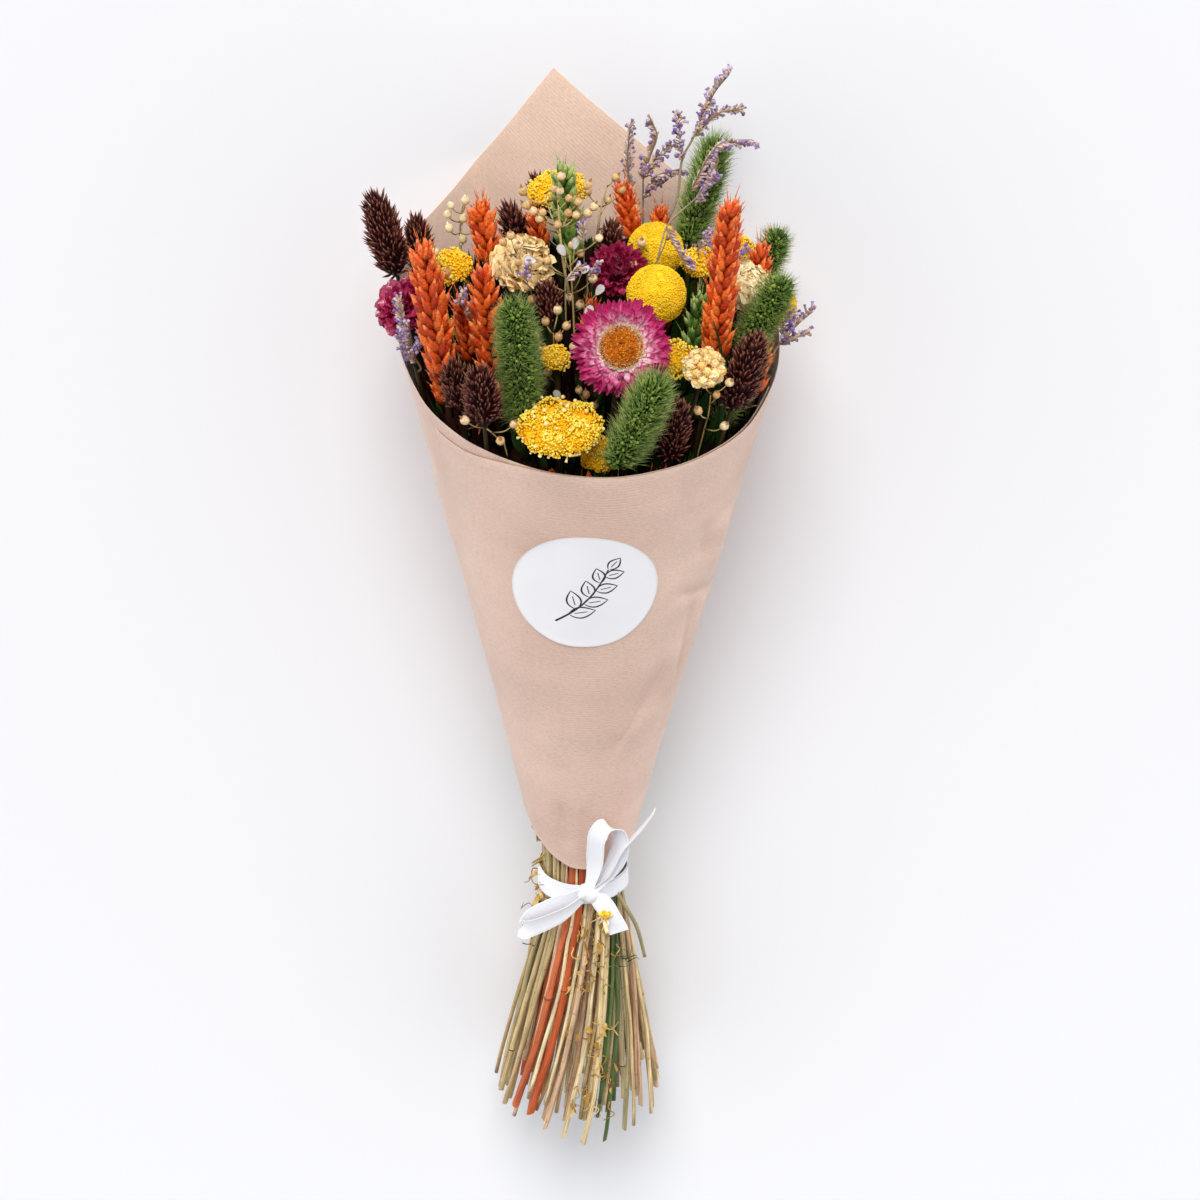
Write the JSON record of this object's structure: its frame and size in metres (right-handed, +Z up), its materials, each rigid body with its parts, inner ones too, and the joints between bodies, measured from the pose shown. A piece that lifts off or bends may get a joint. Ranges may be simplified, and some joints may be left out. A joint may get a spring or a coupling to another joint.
{
  "type": "dried flower bouquet",
  "caption": "Mixed dried flowers and grasses in a rolled kraft paper cone, tied at the stems with a satin ribbon bow and lying on its back.",
  "frame": {"origin": "centre of the bounding box on the table plane", "axes": "+Y along the bunch from the cut ends to the flowers, +Z up, and the front with the sticker and the bow faces +Z"},
  "size_m": [0.189, 0.5123, 0.163],
  "materials": {
    "kraft_paper": "matt ribbed kraft paper",
    "label_paper": "smooth white paper",
    "satin": "white satin",
    "dyed_wheat": "dry matt plant",
    "green_wheat": "dry matt plant",
    "dark_canary_grass": "dry matt plant",
    "green_foxtail": "dry matt plant",
    "yellow_yarrow": "dry matt plant",
    "yellow_craspedia": "dry matt plant",
    "pink_strawflower": "dry matt plant",
    "cream_flower": "dry matt plant",
    "purple_statice": "dry matt plant",
    "pale_flax": "dry matt plant"
  },
  "bodies": {
    "root": {"canary_grass_01": "dark_canary_grass", "canary_grass_02": "dark_canary_grass", "canary_grass_03": "dark_canary_grass", "canary_grass_04": "dark_canary_grass", "canary_grass_05": "dark_canary_grass", "canary_grass_06": "dark_canary_grass", "canary_grass_07": "dark_canary_grass", "canary_grass_08": "dark_canary_grass", "canary_grass_09": "dark_canary_grass", "canary_grass_10": "dark_canary_grass", "craspedia_01": "yellow_craspedia", "craspedia_02": "yellow_craspedia", "craspedia_03": "yellow_craspedia", "cream_flower_01": "cream_flower", "cream_flower_02": "cream_flower", "cream_flower_03": "cream_flower", "flax_01": "pale_flax", "flax_02": "pale_flax", "flax_03": "pale_flax", "foxtail_01": "green_foxtail", "foxtail_02": "green_foxtail", "foxtail_03": "green_foxtail", "foxtail_04": "green_foxtail", "foxtail_05": "green_foxtail", "foxtail_06": "green_foxtail", "kraft_wrap": "kraft_paper", "satin_ribbon": "satin", "statice_01": "purple_statice", "statice_02": "purple_statice", "statice_03": "purple_statice", "statice_04": "purple_statice", "sticker": "label_paper", "strawflower_01": "pink_strawflower", "strawflower_02": "pink_strawflower", "strawflower_03": "pink_strawflower", "wheat_green_01": "green_wheat", "wheat_green_02": "green_wheat", "wheat_orange_01": "dyed_wheat", "wheat_orange_02": "dyed_wheat", "wheat_orange_03": "dyed_wheat", "wheat_orange_04": "dyed_wheat", "wheat_orange_05": "dyed_wheat", "wheat_orange_06": "dyed_wheat", "wheat_orange_07": "dyed_wheat", "wheat_orange_08": "dyed_wheat", "wheat_orange_09": "dyed_wheat", "wheat_orange_10": "dyed_wheat", "wheat_orange_11": "dyed_wheat", "wheat_orange_12": "dyed_wheat", "yarrow_01": "yellow_yarrow", "yarrow_02": "yellow_yarrow", "yarrow_03": "yellow_yarrow", "yarrow_04": "yellow_yarrow", "yarrow_05": "yellow_yarrow", "yarrow_06": "yellow_yarrow", "yarrow_07": "yellow_yarrow", "yarrow_08": "yellow_yarrow", "yarrow_09": "yellow_yarrow", "yarrow_10": "yellow_yarrow"}
  },
  "joints": []
}
